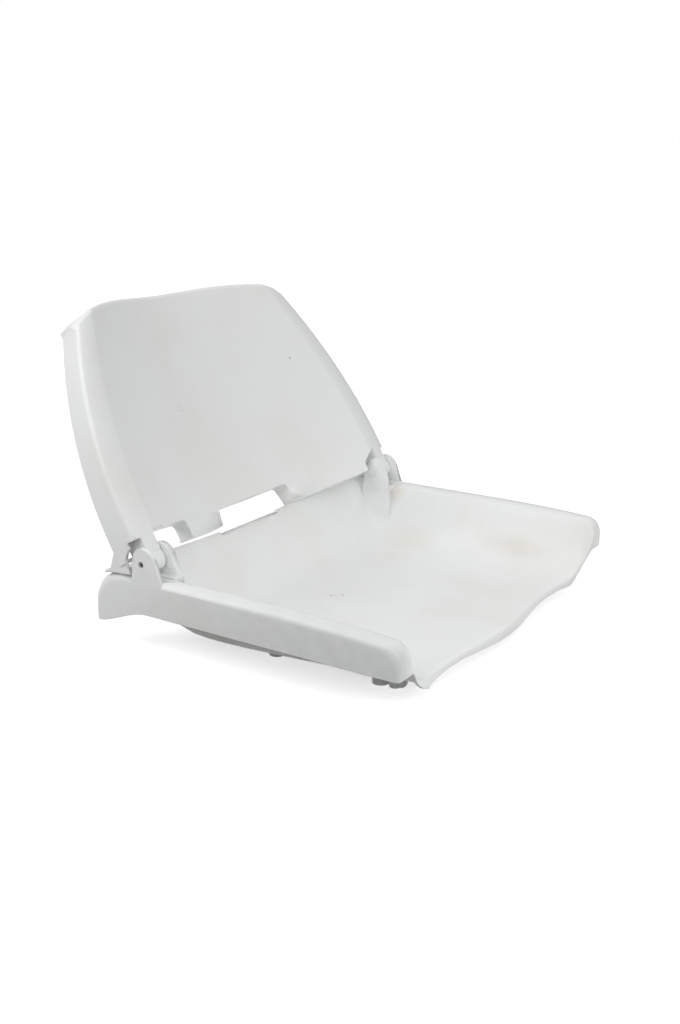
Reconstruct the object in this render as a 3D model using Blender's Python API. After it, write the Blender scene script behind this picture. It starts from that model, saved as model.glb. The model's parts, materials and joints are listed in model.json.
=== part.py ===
"""Folding boat seat, moulded in white plastic.

A tub-shaped seat pan carries a curved backrest on two hinge pins. The backrest leans
back against the pan's shoulders and folds forward over the tub. Brass inserts under
the pan take a pedestal plate or a pair of wide brackets.

The origin is the centre of the pedestal bolt pattern, on the plane of the boss faces.
X runs across the seat, -Y points to the front edge and +Z is up. Lengths are in metres.
"""

import math

import bmesh
import bpy
import numpy as np

# Pan: overall sizes
SEAT_WIDTH = 0.480
RAIL_WIDTH = 0.023
PATTERN_TO_RAIL_FRONT = 0.1335
BASE_TO_RAIL_EDGE = 0.0480
RIM_HEIGHT = 0.039
PAN_WALL = 0.0035

# Pan: tub
TUB_DEPTH = 0.081
TUB_LENGTH = 0.345
TUB_REAR_RUN = 0.105
FLOOR_RISE_FRONT = 0.016
REAR_RIM_DIP = 0.0065
RIM_FALL_FRONT = 0.005
RIM_FALL_LENGTH = 0.130
FLOOR_RISE_POWER = 1.2
TUB_SIDE_POWER = 13
TUB_REAR_POWER = 5
RIM_BLEND_POWER = 9

# Pan: edges
RAIL_OUTER_RADIUS = 0.0085
RAIL_NOSE_RADIUS = 0.016
RAIL_CORNER_RADIUS = 0.005
RAIL_PAST_TUB = 0.028
SHOULDER_RADIUS = 0.036
REAR_RIM_RADIUS = 0.006
REAR_CORNER_RADIUS = 0.006
REAR_RIM_OVERHANG = 0.0115
REAR_SKIRT = 0.012
REAR_CORNER_DROP = 0.019
REAR_CORNER_RUN = 0.073
REAR_BLEND_WIDTH = 0.021
REAR_BLEND_END = 0.003

# Pan: front lip, a rolled edge that waves round the thighs
LIP_RADIUS = 0.0062
LIP_SETBACK = 0.010
LIP_WAVE = 0.005
LIP_WAVE_LENGTH = 0.234
LIP_DROP = 0.0353
LIP_DROP_WAVE = 0.0018
LIP_CORNER_WIDTH = 0.052
LIP_CORNER_POWER = 1.6
LIP_CORNER_END = 0.005
LIP_BLEND_WIDTH = 0.022
LIP_FADE_WIDTH = 0.024
LIP_STEP_START = 0.067
LIP_STEP_END = 0.045
LIP_STEP_SHARE = 0.26
LIP_LAND = 0.0006

# Pan: notch in the rear rim
REAR_NOTCH_WIDTH = 0.113
REAR_NOTCH_DEPTH = 0.004

# Hinge
PIVOT_FROM_REAR = 0.0677
PIVOT_ABOVE_RAIL_EDGE = 0.0538
EAR_RADIUS = 0.0175
EAR_REAR_RADIUS = 0.012
EAR_REAR_REACH = 0.0105
EAR_REAR_TOE = 0.0140
EAR_FRONT_ANGLE = math.radians(20)
OUTER_EAR_THICKNESS = 0.0065
INNER_EAR_THICKNESS = 0.008
EAR_SLOT_WIDTH = 0.021
EAR_INSET = 0.0004
EAR_ROOT_DEPTH = 0.003
LUG_CLEARANCE = 0.0010
EAR_SWEEP_CLEARANCE = 0.0022
PIN_RADIUS = 0.0030
PIN_CLEARANCE = 0.0003
PIN_RECESS = 0.0045
PIN_POINT = 0.0008
INNER_EAR_SKIN = 0.003
EAR_BOSS_RADIUS = 0.0065
EAR_BOSS_HEIGHT = 0.0007

# Backrest: sizes along the panel are measured from the pin
RECLINE = math.radians(31)
FACE_AHEAD_OF_PIN = 0.0104
BACK_TOP = 0.2970
BACK_CORNER_DROP = 0.031
BACK_CORNER_POWER = 3.2
BACK_CORNER_EASE = 0.0030
BACK_CORNER_EASE_POWER = 20
BACK_BOTTOM_LEFT = 0.0085
BACK_BOTTOM_RIGHT = 0.0075
BACK_BOTTOM_RIGHT_FALL = 0.005
BACK_OVERHANG = 0.0015
BACK_SIDE_STRAIGHT = 0.038
BACK_SIDE_ARC_RADIUS = 0.413
BORDER_WIDTH = 0.030
BORDER_NARROWING = 0.012
BORDER_SLOPE = 0.0006
PANEL_HOLLOW_BOTTOM = 0.044
PANEL_HOLLOW_TOP = 0.039
BACK_EDGE_RADIUS = 0.007
BACK_WALL = 0.0034
BACK_FLANGE = 0.022
BACK_FLANGE_TOP = 0.016
BACK_SIDE_DEPTH = 0.038
BACK_SIDE_DEPTH_TOP = 0.0285

# Backrest: cut-outs in the lower edge
HAND_NOTCH_HALF_WIDTH = 0.066
HAND_NOTCH_FLARE = 0.016
LOWER_NOTCH_TOP = 0.0295
STRAP_NOTCH_WIDTH = 0.0675
NOTCH_RADIUS = 0.005
NOTCH_WALL_DEPTH = 0.0205
EAR_SLOT_SLANT = 0.010
EAR_SLOT_SLANT_RISE = 0.014
LUG_RADIUS = 0.0108
LUG_TOP = 0.045
LUG_DEPTH = 0.024
OUTER_CUT_TOP = 0.0255
HEEL_REACH = 0.050
HEEL_THICKNESS = 0.0026
HEEL_FRONT = 0.016
HEEL_WIDTH = 0.016
HEEL_GAP = 0.0004
HEEL_SLOPE = math.radians(7)

# Ribs
RIB_THICKNESS = 0.0030
RIB_ROOT = 0.0015
RIB_LIFT = 0.0006
BACK_RIB_HEIGHT = 0.014
BACK_RIB_SPACING_SHARE = 0.25
BACK_RIB_END = 0.012
RUNNER_FRONT = 0.040
RUNNER_FROM_REAR = 0.045
RUNNER_RELIEF_START = 0.060
RUNNER_RELIEF_END = 0.184
RUNNER_RELIEF_RISE = 0.005
RUNNER_RELIEF_RUN = 0.016
RUNNER_END_RADIUS = 0.006
FOOT_RADIUS = 0.006
FOOT_INSET = 0.013
PAD_HALF = 0.0925
PAD_BOSS_RADIUS = 0.020

# Fasteners
PEDESTAL_SPACING = 0.127
BRACKET_SPACING = 0.3112
BOSS_RADIUS = 0.0085
INSERT_RADIUS = 0.0048
INSERT_BORE_RADIUS = 0.0026
INSERT_LENGTH = 0.0052
INSERT_CLEARANCE = 0.0003
INSERT_CHAMFER = 0.0005
INSERT_COLLAR = 0.0012
INSERT_RECESS = 0.0002

# One overrun serves every cutter
OVERRUN = 0.010

# Mesh density
FLOOR_STEPS = 5
TUB_WALL_STEPS = 9
RIM_STEPS = 2
ARC_STEPS = 3
PAN_FRONT_STEPS = 5
PAN_LENGTH_STEPS = 8
PAN_REAR_STEPS = 8
PANEL_STEPS = 7
BORDER_STEPS = 2
BACK_ROW_STEPS = 11
ROUND_SIDES = 32
TURNED_SIDES = 20
RIB_STATIONS = 13
STEP_CROWDING = 1.65
FLAT_ANGLE = math.radians(0.1)
NORMAL_EASING_TURNS = 2

# Derived places
HALF_WIDTH = SEAT_WIDTH / 2
TUB_HALF_WIDTH = HALF_WIDTH - RAIL_WIDTH
TUB_DEEPEST = TUB_LENGTH - TUB_REAR_RUN
RAIL_LENGTH = TUB_LENGTH + RAIL_PAST_TUB
REAR_BLEND_OUTER = TUB_HALF_WIDTH - REAR_BLEND_END
REAR_BLEND_INNER = REAR_BLEND_OUTER - REAR_BLEND_WIDTH
LIP_BLEND_INNER = TUB_HALF_WIDTH - LIP_BLEND_WIDTH
LIP_FADE_START = TUB_HALF_WIDTH - LIP_FADE_WIDTH
LIP_CORNER_X = TUB_HALF_WIDTH - LIP_CORNER_WIDTH
LIP_END_X = TUB_HALF_WIDTH - LIP_CORNER_END
Y_FRONT = -PATTERN_TO_RAIL_FRONT
Z_EDGE = BASE_TO_RAIL_EDGE
PIVOT_Y = Y_FRONT + RAIL_LENGTH - PIVOT_FROM_REAR
PIVOT_Z = Z_EDGE + PIVOT_ABOVE_RAIL_EDGE
SLOT_OUTER_X = HALF_WIDTH - OUTER_EAR_THICKNESS
SLOT_INNER_X = SLOT_OUTER_X - EAR_SLOT_WIDTH
EAR_INNER_X = SLOT_INNER_X - INNER_EAR_THICKNESS
RUNNER_X = BRACKET_SPACING / 2
RUNNER_REAR = TUB_LENGTH - RUNNER_FROM_REAR
BACK_SIDE_HALF = HALF_WIDTH + BACK_OVERHANG
STRAP_NOTCH_INNER = EAR_INNER_X - STRAP_NOTCH_WIDTH
UP_PANEL = np.array([0.0, math.sin(RECLINE), math.cos(RECLINE)])
BEHIND_PANEL = np.array([0.0, math.cos(RECLINE), -math.sin(RECLINE)])

PLASTIC = ("moulded_white_plastic", (0.80, 0.81, 0.79, 1.0), 0.42, 0.0)
STEEL = ("stainless_steel_pin", (0.42, 0.42, 0.43, 1.0), 0.35, 1.0)
BRASS = ("brass_insert", (0.62, 0.46, 0.20, 1.0), 0.38, 1.0)


def clear_scene():
    for thing in list(bpy.data.objects):
        bpy.data.objects.remove(thing, do_unlink=True)


def material(finish, part_name):
    name, colour, roughness, metallic = finish
    made = bpy.data.materials.new(f"{part_name}_{name}")
    made.use_nodes = True
    shader = made.node_tree.nodes["Principled BSDF"]
    shader.inputs["Base Color"].default_value = colour
    shader.inputs["Roughness"].default_value = roughness
    shader.inputs["Metallic"].default_value = metallic
    made.diffuse_color = colour
    return made


def mesh_object(name, points, faces):
    mesh = bpy.data.meshes.new(name)
    mesh.from_pydata([tuple(map(float, point)) for point in points], [], faces)
    mesh.update()
    made = bpy.data.objects.new(name, mesh)
    bpy.context.scene.collection.objects.link(made)
    return made


def combine(target, other, operation):
    """Boolean `other` into `target`, apply it and drop `other`."""
    cut = target.modifiers.new(operation.lower(), "BOOLEAN")
    cut.operation = operation
    cut.solver = "EXACT"
    cut.object = other
    graph = bpy.context.evaluated_depsgraph_get()
    result = bpy.data.meshes.new_from_object(target.evaluated_get(graph))
    target.modifiers.clear()
    target.data = result
    bpy.data.objects.remove(other, do_unlink=True)


def smoothstep(value, low, high):
    share = np.clip((value - low) / (high - low), 0.0, 1.0)
    return share * share * (3 - 2 * share)


def edge_drop(distance, radius):
    """Fall of a rounded edge at a distance in from where the edge ends."""
    inside = np.clip(radius - distance, 0.0, radius)
    return radius - np.sqrt(radius * radius - inside * inside)


def arc_inset(radius, steps):
    """Distances from the edge, nearest first, that follow a quarter round evenly."""
    return [radius * (1 - math.cos(math.pi / 2 * step / steps)) for step in range(steps)]


def eased(normals):
    """Average each direction with its neighbours, to keep the inner skin from folding."""
    for turn in range(NORMAL_EASING_TURNS):
        padded = np.pad(normals, ((1, 1), (1, 1), (0, 0)), mode="edge")
        around = padded[2:, 1:-1] + padded[:-2, 1:-1] + padded[1:-1, 2:] + padded[1:-1, :-2]
        normals = normals + around / 4
        normals /= np.linalg.norm(normals, axis=2)[..., None]
    return normals


def border_sides(border, skirt_direction, wall):
    """Outward side directions round a border, eased over a few walls at each corner."""
    flat = border - np.outer(border @ skirt_direction, skirt_direction)
    step = np.roll(flat, -1, axis=0) - flat
    edge_sides = np.cross(step, skirt_direction)
    if np.sum(edge_sides * (flat - flat.mean(axis=0))) < 0:
        edge_sides = -edge_sides
    lengths = np.linalg.norm(step, axis=1)
    ends = np.cumsum(lengths)
    middles = ends - lengths / 2
    sides = []
    for place in ends - lengths:
        away = np.abs(middles - place)
        away = np.minimum(away, ends[-1] - away)
        weights = np.exp(-(away / (2 * wall)) ** 2)
        weights[away == away.min()] += 1 / ROUND_SIDES
        side = weights @ edge_sides
        sides.append(side / np.linalg.norm(side))
    return np.array(sides)


def shell(name, skin, wall, outward, skirt_direction, skirt_depth):
    """Closed moulded shell from a grid of outer points.

    The grid's border turns into a skirt that runs along skirt_direction, and the inner
    skin lies one wall inside. outward is the direction that the grid faces, and
    skirt_depth gives the length of the skirt for each border point.
    """
    columns, rows = skin.shape[:2]
    across = np.gradient(skin, axis=0)
    along = np.gradient(skin, axis=1)
    normals = np.cross(across, along)
    normals /= np.linalg.norm(normals, axis=2)[..., None]
    if np.sum(normals @ outward) < 0:
        normals = -normals
    normals = eased(normals)
    ring = [(i, 0) for i in range(columns)]
    ring += [(columns - 1, j) for j in range(1, rows)]
    ring += [(i, rows - 1) for i in range(columns - 2, -1, -1)]
    ring += [(0, j) for j in range(rows - 2, 0, -1)]
    border = np.array([skin[i, j] for i, j in ring])
    for (i, j), side in zip(ring, border_sides(border, skirt_direction, wall)):
        shared = float(side @ normals[i, j])
        faced = float(skirt_direction @ normals[i, j])
        sink = np.clip((shared - 1) / min(faced, shared / 2 - 1), 0.0, 1.0)
        normals[i, j] = side - sink * skirt_direction
    inner = skin - wall * normals
    depth = np.array([skirt_depth(*skin[i, j]) for i, j in ring])
    inner_border = np.array([inner[i, j] for i, j in ring])
    lower = border + depth[:, None] * skirt_direction
    along_skirt = (lower - inner_border) @ skirt_direction
    inner_lower = inner_border + along_skirt[:, None] * skirt_direction

    points = np.concatenate([skin.reshape(-1, 3), inner.reshape(-1, 3), lower, inner_lower])
    start_inner = columns * rows
    start_lower = 2 * start_inner
    start_inner_lower = start_lower + len(ring)

    def index(i, j):
        return i * rows + j

    faces = []
    for i in range(columns - 1):
        for j in range(rows - 1):
            quad = [index(i, j), index(i + 1, j), index(i + 1, j + 1), index(i, j + 1)]
            faces.append(quad)
            faces.append([start_inner + corner for corner in reversed(quad)])
    for k, (i, j) in enumerate(ring):
        after = (k + 1) % len(ring)
        here = index(i, j)
        there = index(*ring[after])
        faces.append([there, here, start_lower + k, start_lower + after])
        faces.append([start_lower + after, start_lower + k,
                      start_inner_lower + k, start_inner_lower + after])
        faces.append([start_inner + here, start_inner + there,
                      start_inner_lower + after, start_inner_lower + k])
    made = mesh_object(name, points, faces)
    face_outwards(made)
    return made


def face_outwards(thing):
    """Split a mesh into triangles, so that its faces are flat, and face them outwards."""
    work = bmesh.new()
    work.from_mesh(thing.data)
    bmesh.ops.triangulate(work, faces=work.faces)
    bmesh.ops.recalc_face_normals(work, faces=work.faces)
    if work.calc_volume(signed=True) < 0:
        bmesh.ops.reverse_faces(work, faces=work.faces)
    work.to_mesh(thing.data)
    work.free()


def prism(name, outline, start, end, place):
    """Extrude a flat outline from start to end, through a placing function."""
    count = len(outline)
    points = [place(a, b, start) for a, b in outline] + [place(a, b, end) for a, b in outline]
    faces = [list(range(count)), list(range(2 * count - 1, count - 1, -1))]
    for k in range(count):
        after = (k + 1) % count
        faces.append([k, count + k, count + after, after])
    made = mesh_object(name, points, faces)
    face_outwards(made)
    return made


def along_x(y, z, x):
    return (x, y, z)


def along_y(x, z, y):
    return (x, y, z)


def along_z(x, y, z):
    return (x, y, z)


def on_back(x, up, behind):
    """World point from a place on the panel: across, up from the pin, behind the face."""
    pin = np.array([x, PIVOT_Y, PIVOT_Z])
    return tuple(pin + up * UP_PANEL + (behind - FACE_AHEAD_OF_PIN) * BEHIND_PANEL)


def arc(centre, radius, start, end, steps):
    angles = np.linspace(start, end, steps + 1)
    return [(centre[0] + radius * math.cos(a), centre[1] + radius * math.sin(a)) for a in angles]


def circle(centre, radius, sides=ROUND_SIDES):
    """Outline of a circle, turned half a step so that no corner lies on an axis."""
    turn = math.pi / sides
    return arc(centre, radius, turn, 2 * math.pi + turn, sides)[:-1]


def rounded_box(low, high, radius, steps=4):
    """Outline of a rectangle with round corners."""
    corners = [(high[0] - radius, high[1] - radius, 0.0),
               (low[0] + radius, high[1] - radius, math.pi / 2),
               (low[0] + radius, low[1] + radius, math.pi),
               (high[0] - radius, low[1] + radius, 3 * math.pi / 2)]
    outline = []
    for x, y, start in corners:
        outline += arc((x, y), radius, start, start + math.pi / 2, steps)
    return outline


# Seat pan

def floor_height(along):
    """Height of the tub's floor over the rail edge, at a distance from the rail front."""
    ahead = np.clip(1 - along / TUB_DEEPEST, 0.0, 1.0)
    return RIM_HEIGHT - TUB_DEPTH + FLOOR_RISE_FRONT * ahead ** FLOOR_RISE_POWER


def rim_height(across, along):
    fall = RIM_FALL_FRONT * np.clip(1 - along / RIM_FALL_LENGTH, 0.0, 1.0) ** 2
    to_rear = np.clip((along - TUB_DEEPEST) / (TUB_LENGTH - TUB_DEEPEST), 0.0, 1.0)
    middle = np.clip(1 - (across / REAR_BLEND_INNER) ** 2, 0.0, 1.0)
    return RIM_HEIGHT - fall - REAR_RIM_DIP * middle * to_rear ** TUB_REAR_POWER


def tub_rise(across, along):
    """0 on the tub's floor and 1 on its rim, with a blended corner between."""
    to_side = (np.abs(across) / TUB_HALF_WIDTH) ** TUB_SIDE_POWER
    to_rear = np.clip(along - TUB_DEEPEST, 0.0, None) / (TUB_LENGTH - TUB_DEEPEST)
    wall = to_side + to_rear ** TUB_REAR_POWER
    return wall / (1 + wall ** RIM_BLEND_POWER) ** (1 / RIM_BLEND_POWER)


def front_edge(across):
    """Distance of the front edge behind the rail front."""
    wave = np.cos(2 * math.pi * across / LIP_WAVE_LENGTH)
    lip = LIP_SETBACK - LIP_WAVE * wave
    step_start = TUB_HALF_WIDTH - LIP_STEP_START
    step_end = TUB_HALF_WIDTH - LIP_STEP_END
    lip_share = 1 - LIP_STEP_SHARE * smoothstep(np.abs(across), step_start, step_end)
    lip_share = lip_share * (1 - smoothstep(np.abs(across), LIP_FADE_START, TUB_HALF_WIDTH))
    corner = edge_drop(HALF_WIDTH - np.abs(across), RAIL_CORNER_RADIUS)
    return lip * lip_share + corner


def rear_edge(across):
    rail_share = smoothstep(np.abs(across), REAR_BLEND_INNER, REAR_BLEND_OUTER)
    rim = TUB_LENGTH + REAR_RIM_OVERHANG
    corner = edge_drop(HALF_WIDTH - np.abs(across), REAR_CORNER_RADIUS)
    return rim + (RAIL_LENGTH - rim) * rail_share - corner


def front_radius(across):
    rail_share = smoothstep(np.abs(across), LIP_BLEND_INNER, TUB_HALF_WIDTH)
    return LIP_RADIUS + (RAIL_NOSE_RADIUS - LIP_RADIUS) * rail_share


def rear_radius(across):
    rail_share = smoothstep(np.abs(across), REAR_BLEND_INNER, REAR_BLEND_OUTER)
    return REAR_RIM_RADIUS + (SHOULDER_RADIUS - REAR_RIM_RADIUS) * rail_share


def pan_height(across, along):
    """Height of the pan's upper skin over the rail edge."""
    floor = floor_height(along)
    top = floor + (rim_height(across, along) - floor) * tub_rise(across, along)
    top = top - edge_drop(HALF_WIDTH - np.abs(across), RAIL_OUTER_RADIUS)
    top = top - edge_drop(along - front_edge(across), front_radius(across))
    return top - edge_drop(rear_edge(across) - along, rear_radius(across))


def pan_edge_height(across, along):
    """Height of the pan's lower edge over the rail edge, on its outline."""
    if along < RAIL_LENGTH / 2:
        wave = math.cos(2 * math.pi * across / LIP_WAVE_LENGTH)
        drop = LIP_DROP + LIP_DROP_WAVE * wave
        outer_share = np.clip((abs(across) - LIP_CORNER_X) / (LIP_END_X - LIP_CORNER_X), 0, 1)
        return -drop * (1 - outer_share ** LIP_CORNER_POWER)
    rail_share = smoothstep(abs(across), REAR_BLEND_INNER, REAR_BLEND_OUTER)
    drop_share = smoothstep(along, RAIL_LENGTH - REAR_CORNER_RUN, RAIL_LENGTH)
    rim = RIM_HEIGHT - REAR_RIM_DIP - REAR_RIM_RADIUS - REAR_SKIRT
    return rim * (1 - rail_share) - REAR_CORNER_DROP * drop_share * rail_share


def pan_skirt(x, y, z):
    lower = Z_EDGE + pan_edge_height(x, y - Y_FRONT)
    return max(z - lower, LIP_LAND)


def pan_columns():
    floor_half = LIP_CORNER_X - TUB_DEPTH / 4
    land_start = TUB_HALF_WIDTH + RAIL_OUTER_RADIUS / 4
    wall = land_start - floor_half
    half = [floor_half * step / FLOOR_STEPS for step in range(FLOOR_STEPS)]
    half += [floor_half + wall * (1 - (1 - step / TUB_WALL_STEPS) ** STEP_CROWDING)
             for step in range(TUB_WALL_STEPS)]
    land = HALF_WIDTH - RAIL_OUTER_RADIUS - land_start
    half += [land_start + land * step / RIM_STEPS for step in range(RIM_STEPS)]
    half += [HALF_WIDTH - inset for inset in
             reversed(arc_inset(RAIL_OUTER_RADIUS, ARC_STEPS + 1))]
    return np.array([-value for value in reversed(half[1:])] + half)


def pan_rows(across):
    """Distances from the rail front at which one column is sampled."""
    start = float(front_edge(across))
    end = float(rear_edge(across))
    nose = float(front_radius(across))
    tail = float(rear_radius(across))
    front = [start + inset for inset in arc_inset(nose, PAN_FRONT_STEPS)]
    middle_start = start + nose
    wall_start = TUB_DEEPEST + REAR_RIM_DIP
    middle = [middle_start + (wall_start - middle_start) * step / PAN_LENGTH_STEPS
              for step in range(PAN_LENGTH_STEPS)]
    wall_end = end - tail
    run = wall_end - wall_start
    wall = [wall_start + run * (1 - (1 - step / PAN_REAR_STEPS) ** STEP_CROWDING)
            for step in range(PAN_REAR_STEPS)]
    back = [end - inset for inset in reversed(arc_inset(tail, PAN_FRONT_STEPS))]
    return np.array(front + middle + wall + [wall_end] + back)


def pan_shell():
    skin = []
    for across in pan_columns():
        along = pan_rows(across)
        height = pan_height(across, along)
        column = np.stack([np.full_like(along, across), Y_FRONT + along, Z_EDGE + height], axis=1)
        skin.append(column)
    return shell("seat_pan", np.array(skin), PAN_WALL, np.array([0, 0, 1.0]),
                 np.array([0, 0, -1.0]), pan_skirt)


def ear_outline():
    """Side view of a hinge ear, from its front foot over the dome to its rear foot."""
    foot = Z_EDGE + RIM_HEIGHT - RAIL_OUTER_RADIUS - EAR_INSET
    lean = EAR_FRONT_ANGLE
    dome = arc((PIVOT_Y, PIVOT_Z), EAR_RADIUS, math.pi - lean, math.radians(100), 6)
    front_y, front_z = dome[0]
    outline = [(front_y - (front_z - foot) * math.tan(lean), foot)]
    outline += dome
    rear = PIVOT_Y + EAR_REAR_REACH
    top_z = PIVOT_Z + EAR_RADIUS
    outline += arc((rear - EAR_REAR_RADIUS, top_z - EAR_REAR_RADIUS), EAR_REAR_RADIUS,
                   math.radians(80), 0.0, 4)
    outline.append((PIVOT_Y + EAR_REAR_TOE, foot))
    return outline


def add_ears(pan, side):
    inner = (EAR_INNER_X, SLOT_INNER_X)
    outer = (SLOT_OUTER_X, HALF_WIDTH - EAR_INSET)
    outline = ear_outline()
    for low, high in (inner, outer):
        ear = prism("ear", outline, side * low, side * high, along_x)
        combine(pan, ear, "UNION")
    block = rounded_box((outline[0][0], Z_EDGE - EAR_ROOT_DEPTH),
                        (outline[-1][0], Z_EDGE + RIM_HEIGHT - EAR_INSET), EAR_INSET)
    root = prism("root", block, side * (EAR_INNER_X + EAR_INSET),
                 side * (TUB_HALF_WIDTH + PAN_WALL), along_x)
    combine(pan, root, "UNION")
    boss = circle((PIVOT_Y, PIVOT_Z), EAR_BOSS_RADIUS, ROUND_SIDES // 2)
    face = side * (EAR_INNER_X - EAR_BOSS_HEIGHT)
    button = prism("boss", boss, face, side * (EAR_INNER_X + EAR_BOSS_HEIGHT), along_x)
    combine(pan, button, "UNION")


def bore_ears(pan, side):
    radius = PIN_RADIUS + PIN_CLEARANCE
    start = side * (EAR_INNER_X + INNER_EAR_SKIN)
    bore = prism("bore", circle((PIVOT_Y, PIVOT_Z), radius), start,
                 side * (HALF_WIDTH + OVERRUN), along_x)
    combine(pan, bore, "DIFFERENCE")


def shell_underside(across, along):
    """Height of the pan's underside over the base, sunk by the rib root into the wall."""
    return Z_EDGE + float(pan_height(across, along)) - PAN_WALL + RIB_ROOT


def add_long_rib(pan, across, start, end, lower):
    """Rib along the seat whose top follows the shell and whose lower edge is given."""
    stations = np.linspace(start, end, RIB_STATIONS)
    top = [(Y_FRONT + along, shell_underside(across, along)) for along in stations]
    outline = top + lower
    half = RIB_THICKNESS / 2
    rib = prism("rib", outline, across - half, across + half, along_x)
    combine(pan, rib, "UNION")


def add_cross_rib(pan, along, reach):
    stations = np.linspace(-reach, reach, RIB_STATIONS)
    top = [(across, shell_underside(across, along)) for across in stations]
    outline = top + [(reach, RIB_LIFT), (-reach, RIB_LIFT)]
    half = RIB_THICKNESS / 2
    y = Y_FRONT + along
    rib = prism("rib", outline, y - half, y + half, along_y)
    combine(pan, rib, "UNION")


def runner_lower_edge():
    """Lower edge of a runner, from its rear foot to its front foot."""
    radius = RUNNER_END_RADIUS
    rear = Y_FRONT + RUNNER_REAR
    front = Y_FRONT + RUNNER_FRONT
    relief_rear = Y_FRONT + RUNNER_RELIEF_END
    relief_front = Y_FRONT + RUNNER_RELIEF_START
    edge = arc((rear - radius, radius), radius, 0.0, -math.pi / 2, 4)
    edge += [(relief_rear, 0.0), (relief_rear - RUNNER_RELIEF_RUN, RUNNER_RELIEF_RISE)]
    edge += [(relief_front + RUNNER_RELIEF_RUN, RUNNER_RELIEF_RISE), (relief_front, 0.0)]
    edge += arc((front + radius, radius), radius, -math.pi / 2, -math.pi, 4)
    return [(y, z + RIB_LIFT) for y, z in edge]


def bolt_places():
    half = PEDESTAL_SPACING / 2
    wide = BRACKET_SPACING / 2
    places = {}
    for row, y in (("front", -half), ("rear", half)):
        for side, sign in (("right", -1), ("left", 1)):
            places[f"pedestal_insert_{row}_{side}"] = (sign * half, y)
            places[f"bracket_insert_{row}_{side}"] = (sign * wide, y)
    return places


def add_boss(pan, x, y, radius):
    top = shell_underside(x, y - Y_FRONT)
    boss = prism("boss", circle((x, y), radius), 0.0, top, along_z)
    combine(pan, boss, "UNION")


def add_underside(pan):
    half = PEDESTAL_SPACING / 2
    for across in (-RUNNER_X, RUNNER_X):
        add_long_rib(pan, across, RUNNER_FRONT, RUNNER_REAR, runner_lower_edge())
    low = PATTERN_TO_RAIL_FRONT - PAD_HALF
    high = PATTERN_TO_RAIL_FRONT + PAD_HALF
    for across in (-PAD_HALF, -half, 0.0, half, PAD_HALF):
        lower = [(Y_FRONT + high, RIB_LIFT), (Y_FRONT + low, RIB_LIFT)]
        add_long_rib(pan, across, low, high, lower)
    for along in (low, high, PATTERN_TO_RAIL_FRONT):
        add_cross_rib(pan, along, PAD_HALF)
    for along in (PATTERN_TO_RAIL_FRONT - half, PATTERN_TO_RAIL_FRONT + half):
        add_cross_rib(pan, along, RUNNER_X - (BOSS_RADIUS + INSERT_RADIUS) / 2)
    add_boss(pan, 0.0, 0.0, PAD_BOSS_RADIUS)
    for across in (-RUNNER_X, RUNNER_X):
        for y in (Y_FRONT + RUNNER_FRONT + FOOT_INSET, Y_FRONT + RUNNER_REAR - FOOT_INSET):
            add_boss(pan, across, y, FOOT_RADIUS)
    for x, y in bolt_places().values():
        add_boss(pan, x, y, BOSS_RADIUS)


def drill_bosses(pan):
    radius = INSERT_RADIUS + INSERT_CLEARANCE
    depth = INSERT_RECESS + INSERT_LENGTH + INSERT_CLEARANCE
    for x, y in bolt_places().values():
        hole = prism("hole", circle((x, y), radius), -OVERRUN, depth, along_z)
        combine(pan, hole, "DIFFERENCE")


def cut_rear_notch(pan):
    half = REAR_NOTCH_WIDTH / 2
    lower = Z_EDGE + RIM_HEIGHT - REAR_RIM_DIP - REAR_NOTCH_DEPTH
    outline = rounded_box((-half, lower), (half, lower + REAR_NOTCH_WIDTH), REAR_NOTCH_DEPTH / 2)
    start = Y_FRONT + TUB_LENGTH - REAR_RIM_RADIUS
    notch = prism("notch", outline, start, start + REAR_NOTCH_WIDTH, along_y)
    combine(pan, notch, "DIFFERENCE")


def make_seat_pan():
    pan = pan_shell()
    add_underside(pan)
    for side in (-1, 1):
        add_ears(pan, side)
    for side in (-1, 1):
        bore_ears(pan, side)
    drill_bosses(pan)
    cut_rear_notch(pan)
    merge_flat_faces(pan)
    finish(pan, PLASTIC)
    return pan


# Backrest

def back_side(up):
    """Half width of the backrest at a height up the panel from the pin."""
    rise = np.clip(up - BACK_SIDE_STRAIGHT, 0.0, None)
    return BACK_SIDE_HALF - rise * rise / (2 * BACK_SIDE_ARC_RADIUS)


def panel_side(up):
    """Half width of the hollow panel, inside the border."""
    share = np.clip(up, 0.0, BACK_TOP) / BACK_TOP
    return back_side(up) - BORDER_WIDTH + BORDER_NARROWING * share ** 2


def panel_hollow(up):
    share = np.clip(up / BACK_TOP, 0.0, 1.0)
    return PANEL_HOLLOW_BOTTOM + (PANEL_HOLLOW_TOP - PANEL_HOLLOW_BOTTOM) * share


def back_depth(across, up):
    """How far the backrest's face lies behind the plane of its border."""
    edge = panel_side(up)
    inside = np.clip(1 - (across / edge) ** 2, 0.0, 1.0)
    outside = np.clip((np.abs(across) - edge) / BORDER_WIDTH, 0.0, 1.0)
    return panel_hollow(up) * inside + BORDER_SLOPE * outside


def back_top(share):
    """Height of the top edge above the pin, at a share of the half width."""
    ease = BACK_CORNER_EASE * np.abs(share) ** BACK_CORNER_EASE_POWER
    return BACK_TOP - BACK_CORNER_DROP * np.abs(share) ** BACK_CORNER_POWER - ease


def back_bottom(share):
    if share < 0:
        return BACK_BOTTOM_LEFT
    return BACK_BOTTOM_RIGHT - BACK_BOTTOM_RIGHT_FALL * share


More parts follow.
